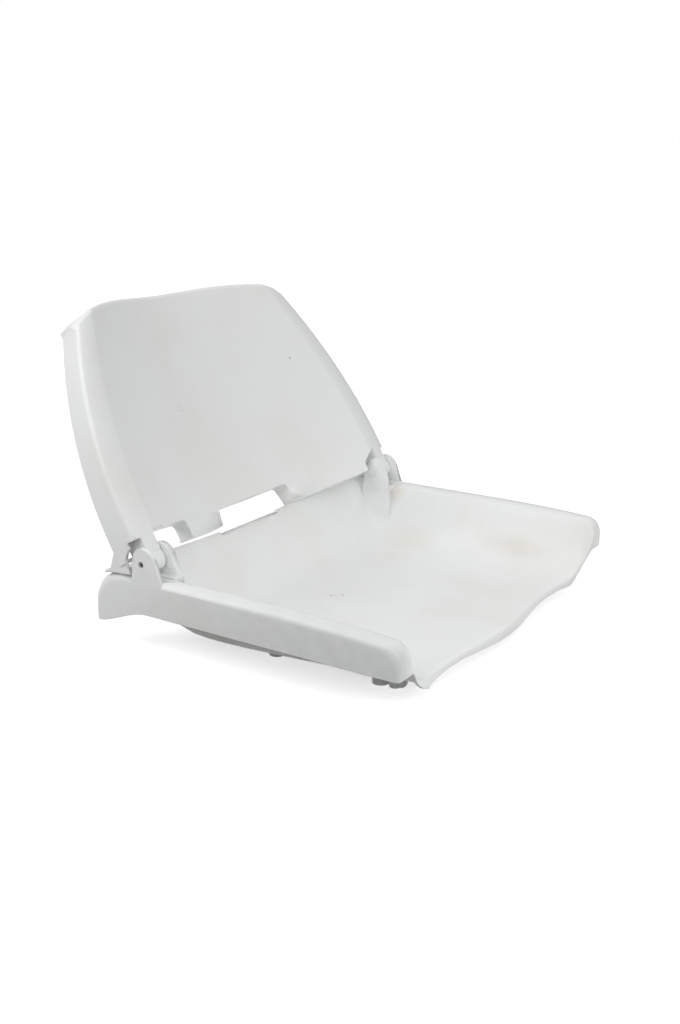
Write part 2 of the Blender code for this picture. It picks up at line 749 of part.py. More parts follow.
def back_columns():
    """Places across the backrest: (kind, share) from the middle outwards."""
    half = [("panel", math.sin(math.pi / 2 * step / PANEL_STEPS))
            for step in range(PANEL_STEPS + 1)]
    half += [("border", step / (BORDER_STEPS + 1)) for step in range(1, BORDER_STEPS + 1)]
    half += [("edge", inset) for inset in reversed(arc_inset(BACK_EDGE_RADIUS, ARC_STEPS))]
    return half


def across_at(kind, share, up):
    inner = float(panel_side(up))
    outer = float(back_side(up))
    if kind == "panel":
        return inner * share
    if kind == "border":
        return inner + (outer - BACK_EDGE_RADIUS - inner) * share
    return outer - share


def back_column(kind, share, side):
    outer_share = across_at(kind, share, BACK_TOP) / float(back_side(BACK_TOP))
    top = float(back_top(outer_share))
    bottom = float(back_bottom(side * outer_share))
    inset = arc_inset(BACK_EDGE_RADIUS, ARC_STEPS)
    rows = np.linspace(bottom, top - BACK_EDGE_RADIUS, BACK_ROW_STEPS + 1)
    ups = list(rows) + [top - value for value in reversed(inset)]
    column = []
    for up in ups:
        across = side * across_at(kind, share, min(up, top - BACK_EDGE_RADIUS))
        depth = float(back_depth(across, up))
        depth += float(edge_drop(top - up, BACK_EDGE_RADIUS))
        depth += float(edge_drop(float(back_side(up)) - abs(across), BACK_EDGE_RADIUS))
        column.append(on_back(across, up, depth))
    return column


def side_depth(up):
    """How far the side wall reaches behind the plane of the border."""
    share = min(max(up / BACK_TOP, 0.0), 1.0)
    return BACK_SIDE_DEPTH + (BACK_SIDE_DEPTH_TOP - BACK_SIDE_DEPTH) * share


def back_flange(x, y, z):
    """Depth of the flange behind a point on the backrest's outline."""
    from_pin = np.array([0.0, y - PIVOT_Y, z - PIVOT_Z])
    rise = float(from_pin @ UP_PANEL)
    own_depth = float(from_pin @ BEHIND_PANEL) + FACE_AHEAD_OF_PIN
    share = min(max(rise / BACK_TOP, 0.0), 1.0)
    middle = BACK_FLANGE + (BACK_FLANGE_TOP - BACK_FLANGE) * share
    side = side_depth(rise) - own_depth
    outer_share = smoothstep(abs(x), float(panel_side(rise)) - BORDER_WIDTH,
                             float(back_side(rise)))
    return middle + (side - middle) * outer_share


def back_shell():
    half = back_columns()
    skin = [back_column(kind, share, -1) for kind, share in reversed(half[1:])]
    skin += [back_column(kind, share, 1) for kind, share in half]
    return shell("backrest", np.array(skin), BACK_WALL, -BEHIND_PANEL, BEHIND_PANEL, back_flange)


def back_prism(name, outline, start, end):
    """Extrude an outline of (up, behind) places across the backrest."""

    def place(up, behind, x):
        return on_back(x, up, behind)

    return prism(name, outline, start, end, place)


def face_prism(name, outline, start, end):
    """Extrude an outline of (across, up) places from front to rear."""

    def place(x, up, behind):
        return on_back(x, up, behind)

    return prism(name, outline, start, end, place)


def notch_outline():
    """The hand notch in the lower edge: sides flare a little towards the opening."""
    top = LOWER_NOTCH_TOP
    half = HAND_NOTCH_HALF_WIDTH
    radius = NOTCH_RADIUS
    flare = half + HAND_NOTCH_FLARE
    low = -top
    outline = [(flare, low)]
    outline += arc((half - radius, top - radius), radius, 0.0, math.pi / 2, 4)
    outline += arc((radius - half, top - radius), radius, math.pi / 2, math.pi, 4)
    outline.append((-flare, low))
    return outline


def strap_notch_outline():
    """The small notch beside the right hinge, which also clears the inner ear."""
    lug_side = -(SLOT_INNER_X + LUG_CLEARANCE + EAR_INSET)
    return rounded_box((lug_side, -2 * LOWER_NOTCH_TOP), (-STRAP_NOTCH_INNER, LOWER_NOTCH_TOP),
                       NOTCH_RADIUS)


def ear_slot_outline():
    """The slot that clears the left inner ear, with a slanted side to the panel."""
    lug_side = SLOT_INNER_X + LUG_CLEARANCE + EAR_INSET
    panel_edge = EAR_INNER_X - EAR_SLOT_SLANT
    top = LOWER_NOTCH_TOP
    bend = top - EAR_SLOT_SLANT_RISE
    return [(lug_side, top), (panel_edge, bend), (panel_edge, -2 * top), (lug_side, -2 * top)]


def line_notch(back, left, right, flare):
    """Add a block behind the panel's lower edge, which the notch then hollows out."""
    top = LOWER_NOTCH_TOP + BACK_WALL
    points = []
    for x in np.linspace(left - BACK_WALL, right + BACK_WALL, 2 * PANEL_STEPS):
        front = float(back_depth(x, top)) + RIB_ROOT
        rear = front + NOTCH_WALL_DEPTH - RIB_ROOT
        low = float(back_bottom(x / HALF_WIDTH)) + EAR_INSET
        spread = x * (1 + flare / HAND_NOTCH_HALF_WIDTH * (top - low) / (2 * top))
        points += [on_back(spread, low, front), on_back(x, top, front),
                   on_back(x, top, rear), on_back(spread, low, rear)]
    last = len(points) - 4
    faces = [[0, 1, 2, 3], [last + 3, last + 2, last + 1, last]]
    for start in range(0, last, 4):
        for corner in range(4):
            after = (corner + 1) % 4
            faces.append([start + corner, start + after, start + 4 + after, start + 4 + corner])
    block = mesh_object("block", points, faces)
    face_outwards(block)
    combine(back, block, "UNION")


def cut_face(back, outline):
    cutter = face_prism("cut", outline, -OVERRUN, PANEL_HOLLOW_BOTTOM + 3 * NOTCH_WALL_DEPTH)
    combine(back, cutter, "DIFFERENCE")


def lug_outline():
    """Side view of a lug in (up, behind): an eye round the pin and a neck up the border."""
    eye = arc((0.0, FACE_AHEAD_OF_PIN), LUG_RADIUS, math.pi / 2, 3 * math.pi / 2, 10)
    front = eye[-1][1]
    outline = eye + [(LUG_RADIUS, RIB_ROOT), (LUG_TOP, RIB_ROOT)]
    outline += [(LUG_TOP, LUG_DEPTH), (LUG_RADIUS, LUG_DEPTH)]
    return outline if front < LUG_DEPTH else outline[::-1]


def add_lug(back, side):
    low = SLOT_INNER_X + LUG_CLEARANCE
    high = SLOT_OUTER_X - LUG_CLEARANCE
    lug = back_prism("lug", lug_outline(), side * low, side * high)
    combine(back, lug, "UNION")
    hole = circle((0.0, FACE_AHEAD_OF_PIN), PIN_RADIUS + PIN_CLEARANCE)
    bore = back_prism("bore", hole, side * (low - OVERRUN), side * (high + OVERRUN))
    combine(back, bore, "DIFFERENCE")


def clear_outer_ear(back, side):
    """Cut the border and side wall back to let the outer ear pass as the back folds."""
    low = SLOT_OUTER_X - LUG_CLEARANCE - EAR_INSET
    radius = EAR_RADIUS + EAR_SWEEP_CLEARANCE
    sweep = circle((0.0, FACE_AHEAD_OF_PIN), radius)
    round_cut = back_prism("cut", sweep, side * low, side * (HALF_WIDTH + OVERRUN))
    combine(back, round_cut, "DIFFERENCE")
    corner = [(OUTER_CUT_TOP, -OVERRUN), (OUTER_CUT_TOP, FACE_AHEAD_OF_PIN + PIN_RADIUS),
              (-OUTER_CUT_TOP, FACE_AHEAD_OF_PIN + PIN_RADIUS), (-OUTER_CUT_TOP, -OVERRUN)]
    corner_cut = back_prism("cut", corner, side * low, side * (HALF_WIDTH + OVERRUN))
    combine(back, corner_cut, "DIFFERENCE")


def add_heel(back, side):
    """Side wall's lower end and the heel that rests on the pan's shoulder."""
    outer = HALF_WIDTH
    top = Z_EDGE + RIM_HEIGHT + HEEL_GAP
    shoulder = Y_FRONT + RAIL_LENGTH - SHOULDER_RADIUS
    front = (PIVOT_Y + HEEL_FRONT, top)
    rear_y = PIVOT_Y + HEEL_REACH
    rear = (rear_y, top - (rear_y - shoulder) * math.tan(HEEL_SLOPE))
    outline = [front, (shoulder, top), rear, (rear[0], rear[1] + HEEL_THICKNESS),
               (shoulder, top + HEEL_THICKNESS), (front[0], top + HEEL_THICKNESS)]
    heel = prism("heel", outline, side * (outer - HEEL_WIDTH), side * outer, along_x)
    combine(back, heel, "UNION")
    wall_rear = on_back(outer, OUTER_CUT_TOP, side_depth(OUTER_CUT_TOP))
    radius = EAR_RADIUS + EAR_SWEEP_CLEARANCE
    cheek = arc((PIVOT_Y, PIVOT_Z), radius, math.radians(40), math.radians(-45), 8)
    cheek = [point for point in cheek if point[1] > top + HEEL_THICKNESS / 2]
    wall = [(wall_rear[1], wall_rear[2])] + cheek
    wall += [(PIVOT_Y + HEEL_FRONT + EAR_INSET, top + HEEL_THICKNESS / 2),
             (PIVOT_Y + HEEL_REACH - 2 * BACK_WALL, top - HEEL_THICKNESS / 4)]
    plate = prism("cheek", wall, side * (outer - BACK_WALL), side * (outer + EAR_INSET), along_x)
    combine(back, plate, "UNION")


def add_back_ribs(back):
    """Ribs behind the panel: uprights, and one cross rib over the notches."""
    half = RIB_THICKNESS / 2
    for count in (-2, -1, 0, 1, 2):
        across = count * BACK_RIB_SPACING_SHARE * HALF_WIDTH
        top = float(back_top(abs(across) / float(back_side(BACK_TOP)))) - BACK_EDGE_RADIUS
        bottom = LOWER_NOTCH_TOP + BACK_WALL / 2
        stations = np.linspace(bottom, top, BACK_ROW_STEPS)
        front = [(up, float(back_depth(across, up)) + BACK_WALL - RIB_ROOT) for up in stations]
        rear = []
        for up, depth in reversed(front):
            taper = smoothstep(top - up, 0.0, BACK_RIB_END)
            rear.append((up, depth + BACK_RIB_HEIGHT * (1 + taper) / 2))
        rib = back_prism("rib", front + rear, across - half, across + half)
        combine(back, rib, "UNION")
    for up in (BACK_TOP / 3, BACK_TOP * 2 / 3):
        reach = float(back_side(up)) - BACK_WALL / 2
        stations = np.linspace(-reach, reach, 2 * PANEL_STEPS + 1)
        front = [(x, float(back_depth(x, up)) + BACK_WALL - RIB_ROOT) for x in stations]
        rear = [(x, depth + BACK_RIB_HEIGHT) for x, depth in reversed(front)]

        def place(x, behind, height):
            return on_back(x, height, behind)

        rib = prism("rib", front + rear, up - half, up + half, place)
        combine(back, rib, "UNION")


def make_backrest():
    back = back_shell()
    line_notch(back, -HAND_NOTCH_HALF_WIDTH, HAND_NOTCH_HALF_WIDTH, HAND_NOTCH_FLARE)
    line_notch(back, -EAR_INNER_X, -STRAP_NOTCH_INNER, 0.0)
    add_back_ribs(back)
    cut_face(back, notch_outline())
    cut_face(back, strap_notch_outline())
    cut_face(back, ear_slot_outline())
    for side in (-1, 1):
        clear_outer_ear(back, side)
        add_lug(back, side)
        add_heel(back, side)
    merge_flat_faces(back)
    set_origin(back, (0.0, PIVOT_Y, PIVOT_Z))
    finish(back, PLASTIC)
    return back


# Small parts

def turned(name, profile, sides):
    """Solid of revolution about Z from (radius, height) points, top to bottom."""
    work = bmesh.new()
    points = [work.verts.new((radius, 0.0, height)) for radius, height in profile]
    edges = [work.edges.new((a, b)) for a, b in zip(points, points[1:])]
    if profile[0][0] > 0:
        edges.append(work.edges.new((points[-1], points[0])))
    bmesh.ops.spin(work, geom=points + edges, cent=(0, 0, 0), axis=(0, 0, 1),
                   angle=2 * math.pi, steps=sides, use_merge=True)
    bmesh.ops.remove_doubles(work, verts=work.verts, dist=INSERT_CHAMFER / 100)
    bmesh.ops.recalc_face_normals(work, faces=work.faces)
    mesh = bpy.data.meshes.new(name)
    work.to_mesh(mesh)
    work.free()
    made = bpy.data.objects.new(name, mesh)
    bpy.context.scene.collection.objects.link(made)
    return made


def make_hinge_pin(name, side):
    """Pin pushed in from outside, through the lug and into the inner ear."""
    inner = EAR_INNER_X + INNER_EAR_SKIN + PIN_CLEARANCE
    outer = HALF_WIDTH - PIN_RECESS
    length = outer - inner
    radius = PIN_RADIUS
    point = PIN_POINT
    profile = [(0.0, length), (radius - point, length), (radius, length - point),
               (radius, point), (radius - point, 0.0), (0.0, 0.0)]
    pin = turned(name, profile, TURNED_SIDES)
    pin.rotation_euler = (0.0, side * math.pi / 2, 0.0)
    pin.location = (side * inner, PIVOT_Y, PIVOT_Z)
    finish(pin, STEEL)
    return pin


def make_insert(name, x, y):
    """Threaded insert, pressed into a boss from below, with a collar at its mouth."""
    length = INSERT_LENGTH
    radius = INSERT_RADIUS
    barrel = radius - INSERT_CHAMFER
    profile = [(INSERT_BORE_RADIUS, length), (barrel - INSERT_CHAMFER, length),
               (barrel, length - INSERT_CHAMFER), (barrel, INSERT_COLLAR), (radius, INSERT_COLLAR),
               (radius, 0.0), (INSERT_BORE_RADIUS, 0.0)]
    insert = turned(name, profile, TURNED_SIDES)
    insert.location = (x, y, INSERT_RECESS)
    finish(insert, BRASS)
    return insert


def merge_flat_faces(thing):
    """Join the flat faces that the cuts and unions have split."""
    work = bmesh.new()
    work.from_mesh(thing.data)
    bmesh.ops.dissolve_limit(work, verts=work.verts, edges=work.edges, angle_limit=FLAT_ANGLE)
    bmesh.ops.triangulate(work, faces=work.faces)
    work.to_mesh(thing.data)
    work.free()


def set_origin(thing, place):
    for vertex in thing.data.vertices:
        vertex.co = [value - origin for value, origin in zip(vertex.co, place)]
    thing.location = place


def finish(thing, look):
    thing.data.materials.clear()
    thing.data.materials.append(material(look, thing.name))
    thing.data.shade_smooth()
    thing.data.set_sharp_from_angle(angle=math.radians(32))


def main():
    clear_scene()
    make_seat_pan()
    make_backrest()
    make_hinge_pin("hinge_pin_right", -1)
    make_hinge_pin("hinge_pin_left", 1)
    for name, (x, y) in bolt_places().items():
        make_insert(name, x, y)


main()
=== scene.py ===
"""Finishes a folding boat seat: moulded plastic, pins, brass inserts, light and camera."""
import json
import math

import bpy
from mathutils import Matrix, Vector


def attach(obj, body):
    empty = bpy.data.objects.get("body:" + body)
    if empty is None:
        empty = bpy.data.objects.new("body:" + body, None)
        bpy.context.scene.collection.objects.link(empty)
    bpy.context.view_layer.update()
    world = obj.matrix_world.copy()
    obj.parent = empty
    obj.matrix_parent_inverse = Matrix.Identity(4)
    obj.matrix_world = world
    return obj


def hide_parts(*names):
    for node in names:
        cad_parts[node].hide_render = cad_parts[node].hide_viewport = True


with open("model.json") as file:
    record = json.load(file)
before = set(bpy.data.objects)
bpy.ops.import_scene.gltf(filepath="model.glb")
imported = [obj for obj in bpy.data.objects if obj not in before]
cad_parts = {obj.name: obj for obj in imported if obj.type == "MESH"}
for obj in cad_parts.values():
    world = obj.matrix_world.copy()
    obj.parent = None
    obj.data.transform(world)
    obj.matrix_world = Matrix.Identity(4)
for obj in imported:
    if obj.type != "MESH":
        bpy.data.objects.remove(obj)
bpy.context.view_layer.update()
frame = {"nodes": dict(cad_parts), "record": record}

bl_info = {
    "name": "Folding Boat Seat",
    "version": (1, 0, 0),
    "blender": (4, 5, 0),
    "location": "3D View > Sidebar > Boat Seat",
    "description": "Finishes a moulded folding boat seat and sets its studio",
    "category": "Object",
}

MM = 0.001

# Edges that bend less than this are shaded smooth, on mouldings and on turned pieces
MOULDED_ANGLE = math.radians(38)
TURNED_ANGLE = math.radians(40)

# Lamps as place and width in metres: one behind the seat's right side, one low in front
KEY_LAMP = (-1.00, 0.80, 1.00), 1.1
FILL_LAMP = (-0.40, -1.6, 0.70), 0.9
LAMP_TARGET = (0, 0.05, 0.15)
FLOOR_SIZE = 14
FLOOR_DROP = 0.3 * MM


# Helpers for nodes and colours

def colour(hex_value):
    """Turn an sRGB hex colour into a linear RGBA value."""
    channels = []
    for start in (1, 3, 5):
        value = int(hex_value[start:start + 2], 16) / 255
        linear = value / 12.92 if value <= 0.04045 else ((value + 0.055) / 1.055) ** 2.4
        channels.append(linear)
    return (*channels, 1.0)


def add_node(material, kind, settings=None, **links):
    """Add a node with its settings, and link each named input to a socket or set its value."""
    tree = material.node_tree
    node = tree.nodes.new(kind)
    for name, value in (settings or {}).items():
        setattr(node, name, value)
    for name, value in links.items():
        key = int(name[1:]) if name[0] == "i" and name[1:].isdigit() else name.replace("_", " ")
        socket = node.inputs[key]
        if isinstance(value, bpy.types.NodeSocket):
            tree.links.new(value, socket)
        else:
            socket.default_value = value
    return node


def new_material(name):
    material = bpy.data.materials.new(name)
    material.use_nodes = True
    material.node_tree.nodes.clear()
    return material


def finish_material(material, surface):
    output = material.node_tree.nodes.new("ShaderNodeOutputMaterial")
    material.node_tree.links.new(surface, output.inputs["Surface"])
    return material


def ramp(material, factor, low, high):
    """Map a factor between low and high to 0 and 1, smoothly."""
    node = add_node(material, "ShaderNodeMapRange", {"interpolation_type": "SMOOTHSTEP"},
                    Value=factor, From_Min=low, From_Max=high)
    return node.outputs[0]


def blend_colour(material, factor, first, second):
    """Mix two colours, where each is a colour value or a socket."""
    node = add_node(material, "ShaderNodeMix", {"data_type": "RGBA"}, i0=factor, i6=first,
                    i7=second)
    return node.outputs[2]


def math_node(material, operation, first, second):
    node = add_node(material, "ShaderNodeMath", {"operation": operation}, i0=first, i1=second)
    return node.outputs[0]


def noise(material, place, size, detail=3.0, roughness=0.55):
    """Noise whose features are about `size` metres across."""
    node = add_node(material, "ShaderNodeTexNoise", Vector=place, Scale=1 / size,
                    Detail=detail, Roughness=roughness)
    return node.outputs[0]


def spot(material, place, centre, radii, softness):
    """1 inside an ellipsoid round a centre, falling to 0 outside it."""
    moved = add_node(material, "ShaderNodeMapping", {"vector_type": "TEXTURE"}, Vector=place,
                     Location=centre, Scale=radii)
    length = add_node(material, "ShaderNodeVectorMath", {"operation": "LENGTH"},
                      i0=moved.outputs[0])
    return ramp(material, length.outputs["Value"], 1 + softness, 1 - softness)


# Materials

def gate_ring(material, place, centre, radius):
    """1 on a thin ring round a centre, as the mould's gate leaves it, and 0 elsewhere."""
    outer = spot(material, place, centre, (radius, radius, radius), 0.10)
    inner = spot(material, place, centre, (radius * 0.8, radius * 0.8, radius * 0.8), 0.12)
    return math_node(material, "SUBTRACT", outer, inner)


def moulded_polypropylene(look, stains_and_painted_shade, gates):
    """White polypropylene, injection moulded: an even satin skin with a faint spark-eroded
    grain, a slight yellowing with age and a film of dust that dulls it in patches."""
    material = new_material("white_polypropylene_moulded")
    place = add_node(material, "ShaderNodeTexCoord").outputs["Object"]
    age = ramp(material, noise(material, place, 160 * MM, 2.0), 0.30, 0.75)
    base = blend_colour(material, age, colour(look.fresh), colour(look.aged))
    film = ramp(material, noise(material, place, 70 * MM, 5.0, 0.6), 0.42, 0.80)
    base = blend_colour(material, math_node(material, "MULTIPLY", film, look.film), base,
                        colour(look.dust))
    # Each entry is a stain, except the pan's first, which is painted shade on the near rail's side
    for centre, radii, strength, tint in stains_and_painted_shade:
        edge = noise(material, place, 16 * MM, 3.0, 0.6)
        inside = spot(material, place, centre, radii, 0.8)
        uneven = add_node(material, "ShaderNodeMapRange", Value=edge, From_Min=0.2,
                          From_Max=0.8, To_Min=0.55)
        patch = math_node(material, "MULTIPLY", inside, uneven.outputs[0])
        patch = math_node(material, "MULTIPLY", patch, strength)
        base = blend_colour(material, patch, base, colour(tint))
    specks = add_node(material, "ShaderNodeTexVoronoi", Vector=place, Scale=1 / (17 * MM))
    speck = ramp(material, specks.outputs["Distance"], 0.050, 0.026)
    speck = math_node(material, "MULTIPLY", speck,
                      ramp(material, noise(material, place, 60 * MM), 0.5, 0.62))
    base = blend_colour(material, math_node(material, "MULTIPLY", speck, look.specks), base,
                        colour(look.soil))
    rings = 0.0
    for centre, radius in gates:
        rings = math_node(material, "ADD", rings, gate_ring(material, place, centre, radius))
    base = blend_colour(material, math_node(material, "MULTIPLY", rings, look.gate_shade), base,
                        colour(look.soil))
    grain = noise(material, place, look.grain, 2.0)
    ripple = noise(material, place, 35 * MM, 2.0)
    round_edges = add_node(material, "ShaderNodeBevel", {"samples": 6}, Radius=look.edge)
    moulded = add_node(material, "ShaderNodeBump", Height=ripple, Strength=0.10,
                       Distance=1.2 * MM, Normal=round_edges.outputs[0])
    textured = add_node(material, "ShaderNodeBump", Height=grain, Strength=0.12,
                        Distance=0.1 * MM, Normal=moulded.outputs[0])
    dull = add_node(material, "ShaderNodeMapRange", Value=film, To_Min=look.gloss,
                    To_Max=look.gloss + 0.14)
    shader = add_node(material, "ShaderNodeBsdfPrincipled", Base_Color=base,
                      Roughness=dull.outputs[0], IOR=1.49, Normal=textured.outputs[0])
    return finish_material(material, shader.outputs[0])


def steel_painted_dark_for_hole_shade():
    """Steel rod, drawn and cut, its near-black tone painted shade for the hinge holes it sits in:
    fine lines along its length, a dull dark skin.
    """
    material = new_material("steel_rod_painted_hole_shade")
    place = add_node(material, "ShaderNodeTexCoord").outputs["Object"]
    stretched = add_node(material, "ShaderNodeMapping", Vector=place, Scale=(0.05, 1, 1))
    lines = noise(material, stretched.outputs[0], 0.5 * MM, 4.0)
    # Near-black tones are painted shade: the pin ends sit dark in their hinge holes
    tone = blend_colour(material, lines, colour("#1c1c1d"), colour("#2c2a28"))
    rough = add_node(material, "ShaderNodeMapRange", Value=lines, To_Min=0.45, To_Max=0.62)
    bump = add_node(material, "ShaderNodeBump", Height=lines, Strength=0.2,
                    Distance=0.05 * MM)
    shader = add_node(material, "ShaderNodeBsdfPrincipled", Base_Color=tone, Metallic=1.0,
                      Roughness=rough.outputs[0], Normal=bump.outputs[0])
    return finish_material(material, shader.outputs[0])


def machined_brass():
    """Free-cutting brass, turned: warm, with fine rings and a patchy tarnish."""
    material = new_material("brass_machined")
    place = add_node(material, "ShaderNodeTexCoord").outputs["Object"]
    turned = add_node(material, "ShaderNodeMapping", Vector=place, Scale=(0.2, 0.2, 1))
    rings = noise(material, turned.outputs[0], 0.6 * MM, 4.0)
    tarnish = ramp(material, noise(material, place, 3 * MM, 4.0), 0.4, 0.7)
    tone = blend_colour(material, tarnish, colour("#c6a35a"), colour("#8f7440"))
    rough = add_node(material, "ShaderNodeMapRange", Value=tarnish, To_Min=0.28, To_Max=0.50)
    bump = add_node(material, "ShaderNodeBump", Height=rings, Strength=0.25,
                    Distance=0.05 * MM)
    shader = add_node(material, "ShaderNodeBsdfPrincipled", Base_Color=tone, Metallic=1.0,
                      Roughness=rough.outputs[0], Normal=bump.outputs[0])
    return finish_material(material, shader.outputs[0])


def studio_sweep(look):
    """Matt white paper: it shows white to the camera, keeps the object's soft shadow, and
    throws back less light on the object than it shows."""
    material = new_material("studio_paper_white")
    place = add_node(material, "ShaderNodeTexCoord").outputs["Object"]
    fibre = noise(material, place, 4 * MM, 3.0)
    tone = blend_colour(material, fibre, colour("#f4f4f4"), colour("#ffffff"))
    shade = blend_colour(material, fibre, colour("#73716f"), colour("#7f7d7b"))
    paper = add_node(material, "ShaderNodeBsdfPrincipled", Base_Color=tone, Roughness=0.9)
    dim = add_node(material, "ShaderNodeBsdfPrincipled", Base_Color=shade, Roughness=0.9)
    glow = add_node(material, "ShaderNodeEmission", Strength=look.paper_glow)
    path = add_node(material, "ShaderNodeLightPath")
    seen = math_node(material, "MAXIMUM", path.outputs["Is Camera Ray"],
                     path.outputs["Is Glossy Ray"])
    seen = math_node(material, "MAXIMUM", seen, path.outputs["Is Transmission Ray"])
    shown = add_node(material, "ShaderNodeMixShader", i0=seen, i1=dim.outputs[0])
    both = add_node(material, "ShaderNodeAddShader", i0=paper.outputs[0], i1=glow.outputs[0])
    material.node_tree.links.new(both.outputs[0], shown.inputs[2])
    return finish_material(material, shown.outputs[0])


# Helpers for pieces

def deselect():
    if bpy.context.object and bpy.context.object.mode != "OBJECT":
        bpy.ops.object.mode_set(mode="OBJECT")
    bpy.ops.object.select_all(action="DESELECT")


def activate(piece):
    deselect()
    piece.select_set(True)
    bpy.context.view_layer.objects.active = piece


def merged_copy(node_name, piece_name, smooth_angle):
    """Copy a CAD node's mesh into a piece of its own, merged and smoothly shaded."""
    node = frame["nodes"][node_name]
    piece = bpy.data.objects.new(piece_name, node.data.copy())
    piece.data.name = piece_name
    bpy.context.scene.collection.objects.link(piece)
    activate(piece)
    bpy.ops.object.mode_set(mode="EDIT")
    bpy.ops.mesh.select_all(action="SELECT")
    bpy.ops.mesh.remove_doubles(threshold=0.01 * MM)
    bpy.ops.object.mode_set(mode="OBJECT")
    bpy.ops.object.shade_smooth_by_angle(angle=smooth_angle)
    piece.data.materials.clear()
    deselect()
    return piece


def body_of(node_name):
    for body, nodes in frame["record"]["behaviour"]["bodies"].items():
        if node_name in nodes:
            return body
    raise RuntimeError(f"{node_name} is on no body")


def dress(node_name, piece_name, material, smooth_angle):
    piece = merged_copy(node_name, piece_name, smooth_angle)
    piece.data.materials.append(material)
    weigh = piece.modifiers.new("even_shading", "WEIGHTED_NORMAL")
    weigh.keep_sharp = True
    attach(piece, body_of(node_name))
    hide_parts(node_name)
    return piece


# Settings

class SeatPlastic(bpy.types.PropertyGroup):
    """Colour and finish of the moulded plastic."""
    fresh: bpy.props.StringProperty(
        name="Fresh Colour", description="Plastic where it has kept its white",
        default="#f1f3f4")
    aged: bpy.props.StringProperty(
        name="Aged Colour", description="Plastic where it has yellowed a little",
        default="#eeefed")
    dust: bpy.props.StringProperty(
        name="Dust Colour", description="Thin film of dust", default="#e6e3da")
    soil: bpy.props.StringProperty(
        name="Soil Colour", description="Small dark specks", default="#7d7263")
    film: bpy.props.FloatProperty(
        name="Dust Film", description="How strongly the dust film shows", default=0.22,
        min=0, max=1, subtype="FACTOR")
    specks: bpy.props.FloatProperty(
        name="Specks", description="How strongly the specks show", default=0.3,
        min=0, max=1, subtype="FACTOR")
    gate_shade: bpy.props.FloatProperty(
        name="Gate Shade", description="How strongly dirt shows in the ring of a gate mark",
        default=0.16, min=0, max=1, subtype="FACTOR")
    gloss: bpy.props.FloatProperty(
        name="Roughness", description="Roughness of clean plastic", default=0.38,
        min=0, max=1, subtype="FACTOR")
    grain: bpy.props.FloatProperty(
        name="Grain Size", description="Spacing of the mould's grain, drawn coarse enough to show",
        default=0.7 * MM, precision=4, unit="LENGTH")
    edge: bpy.props.FloatProperty(
        name="Edge Radius", description="Radius of the small moulded edges",
        default=0.9 * MM, precision=4, unit="LENGTH")


class SeatStudio(bpy.types.PropertyGroup):
    """Floor, lamps and camera."""
    camera_place: bpy.props.FloatVectorProperty(
        name="Camera Place", description="Where the camera stands",
        default=(-1.0849, -0.6282, 0.5021), subtype="TRANSLATION", unit="LENGTH")
    camera_turn: bpy.props.FloatProperty(
        name="Camera Turn", description="Camera's turn round the seat from the front",
        default=math.radians(-56.59), subtype="ANGLE", unit="ROTATION")
    camera_height: bpy.props.FloatProperty(
        name="Camera Height", description="Camera's angle above the horizon",
        default=math.radians(16.70), subtype="ANGLE", unit="ROTATION")
    lens: bpy.props.FloatProperty(
        name="Lens", description="Focal length in millimetres on a 36 mm sensor",
        default=42.01, min=1, unit="CAMERA")
    paper_glow: bpy.props.FloatProperty(
        name="Paper Glow", description="Lift that shows the paper white to the camera",
        default=0.62, min=0)
    sky: bpy.props.FloatProperty(
        name="Sky Light", description="Strength of the light from straight above", default=0.78,
        min=0)
    horizon: bpy.props.FloatProperty(
        name="Horizon Light", description="Strength of the light from the horizon",
        default=0.24, min=0)
    key_power: bpy.props.FloatProperty(
        name="Key Lamp", description="Power of the lamp behind the right side", default=9.5, min=0,
        unit="POWER")
    fill_power: bpy.props.FloatProperty(
        name="Fill Lamp", description="Power of the low lamp in front", default=11.0, min=0,
        unit="POWER")


# Operators

class SEAT_OT_pan(bpy.types.Operator):
    """Finish the seat pan"""
    bl_idname = "boat_seat.pan"
    bl_label = "Seat Pan"

    def execute(self, context):
        look = context.scene.seat_plastic
        material = moulded_polypropylene(look, PAN_STAINS_AND_PAINTED_SHADE, PAN_GATES)
        dress("seat_pan", "pan_moulding", material, MOULDED_ANGLE)
        return {"FINISHED"}


class SEAT_OT_backrest(bpy.types.Operator):
    """Finish the backrest"""
    bl_idname = "boat_seat.backrest"
    bl_label = "Backrest"

    def execute(self, context):
        look = context.scene.seat_plastic
        material = moulded_polypropylene(look, BACK_STAINS, BACK_GATES)
        dress("backrest", "backrest_moulding", material, MOULDED_ANGLE)
        return {"FINISHED"}


class SEAT_OT_hinge_pins(bpy.types.Operator):
    """Finish the hinge pins"""
    bl_idname = "boat_seat.hinge_pins"
    bl_label = "Hinge Pins"

    def execute(self, context):
        material = steel_painted_dark_for_hole_shade()
        for side in ("right", "left"):
            dress(f"hinge_pin_{side}", f"hinge_pin_rod_{side}", material, TURNED_ANGLE)
        return {"FINISHED"}


class SEAT_OT_inserts(bpy.types.Operator):
    """Finish the brass inserts"""
    bl_idname = "boat_seat.inserts"
    bl_label = "Brass Inserts"

    def execute(self, context):
        material = machined_brass()
        for kind in ("pedestal", "bracket"):
            for row in ("front", "rear"):
                for side in ("right", "left"):
                    node = f"{kind}_insert_{row}_{side}"
                    dress(node, f"{kind}_sleeve_{row}_{side}", material, TURNED_ANGLE)
        return {"FINISHED"}


